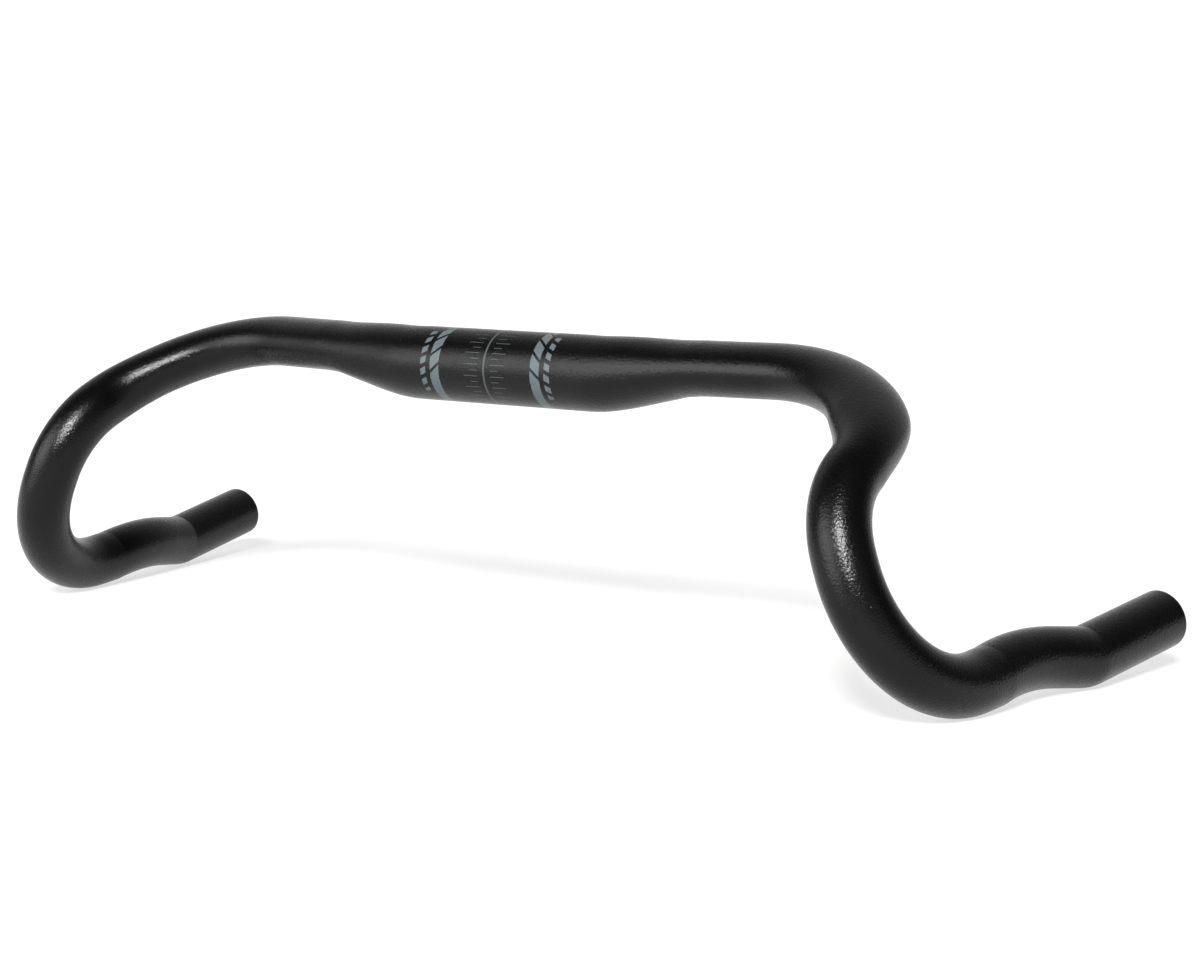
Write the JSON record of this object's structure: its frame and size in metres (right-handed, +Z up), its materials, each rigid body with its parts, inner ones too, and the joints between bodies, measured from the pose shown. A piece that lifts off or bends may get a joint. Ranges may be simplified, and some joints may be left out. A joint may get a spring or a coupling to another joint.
{
  "type": "drop handlebar",
  "caption": "One-piece bent tube drop handlebar with a thick clamp zone, flattened tops, flared hooks and drops with a palm hump and a kink.",
  "frame": {"origin": "centre of the clamp zone, on its axis", "axes": "+X along the clamp zone, -Y forward (the way the bicycle travels), +Z up, as the bar rests on its two hook bottoms and the two kinks of its drops"},
  "size_m": [0.536, 0.1791, 0.1302],
  "materials": {
    "satin_black": "bead-blasted satin black anodising, with grey-teal printed bands and ticks at the clamp zone"
  },
  "bodies": {
    "root": {"handlebar": "satin_black"}
  },
  "joints": []
}
